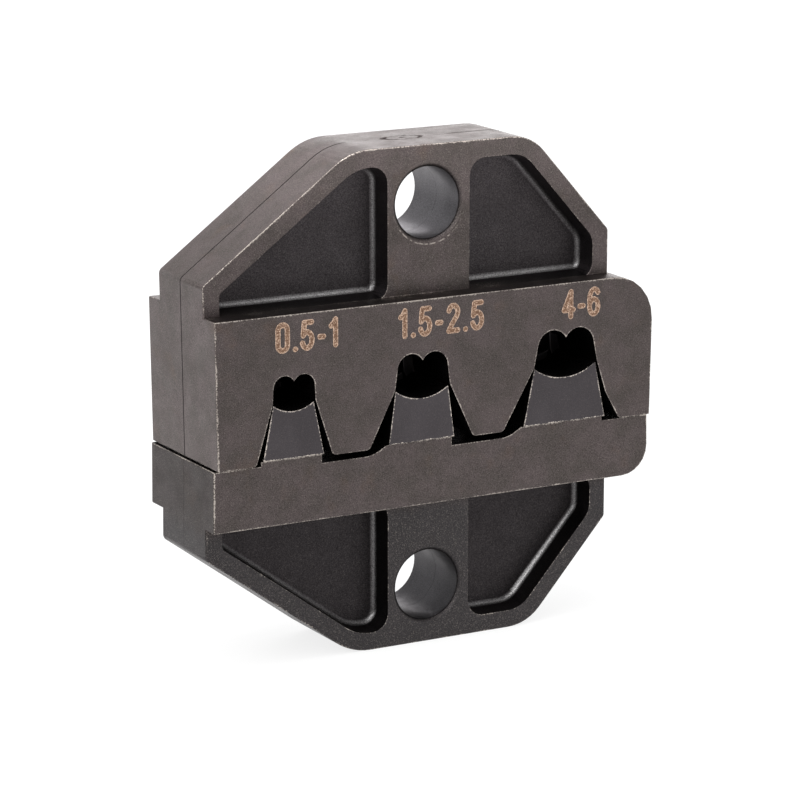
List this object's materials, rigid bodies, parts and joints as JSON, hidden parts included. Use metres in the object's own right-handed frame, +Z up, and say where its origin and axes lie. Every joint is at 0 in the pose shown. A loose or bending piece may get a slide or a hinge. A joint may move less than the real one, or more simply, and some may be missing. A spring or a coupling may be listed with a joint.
{
  "type": "crimping die set",
  "caption": "Interchangeable upper and lower crimping die for ratchet crimping pliers, with open-barrel nests of rising size.",
  "frame": {"origin": "bottom centre of the box around the closed set, which stands on the crest of its lower tab", "axes": "+Z up, the way the upper die opens; +X to the right along the row of nests, small to large; -Y towards the viewer, the side of the insulation nests and the size marks"},
  "size_m": [0.045, 0.0132, 0.0459],
  "materials": {
    "black_oxide_steel": "fine sintered grain with a dark oxide, edges worn bright",
    "ground_anvil_steel": "smooth ground steel, dark oxide",
    "dowel_steel": "ground, bare"
  },
  "bodies": {
    "lower_die": {"lower_front_plate": "black_oxide_steel", "lower_rear_plate": "black_oxide_steel", "front_anvil_small": "ground_anvil_steel", "front_anvil_medium": "ground_anvil_steel", "front_anvil_large": "ground_anvil_steel", "rear_anvil_small": "ground_anvil_steel", "rear_anvil_medium": "ground_anvil_steel", "rear_anvil_large": "ground_anvil_steel", "lower_dowel_left": "dowel_steel", "lower_dowel_right": "dowel_steel"},
    "upper_die": {"upper_front_plate": "black_oxide_steel", "upper_rear_plate": "black_oxide_steel", "upper_dowel_left": "dowel_steel", "upper_dowel_right": "dowel_steel"}
  },
  "joints": [
    {"name": "die_opening", "type": "slide", "parent": "lower_die", "child": "upper_die", "axis": [0, 0, 1], "range_m": [0, 0.012]}
  ]
}
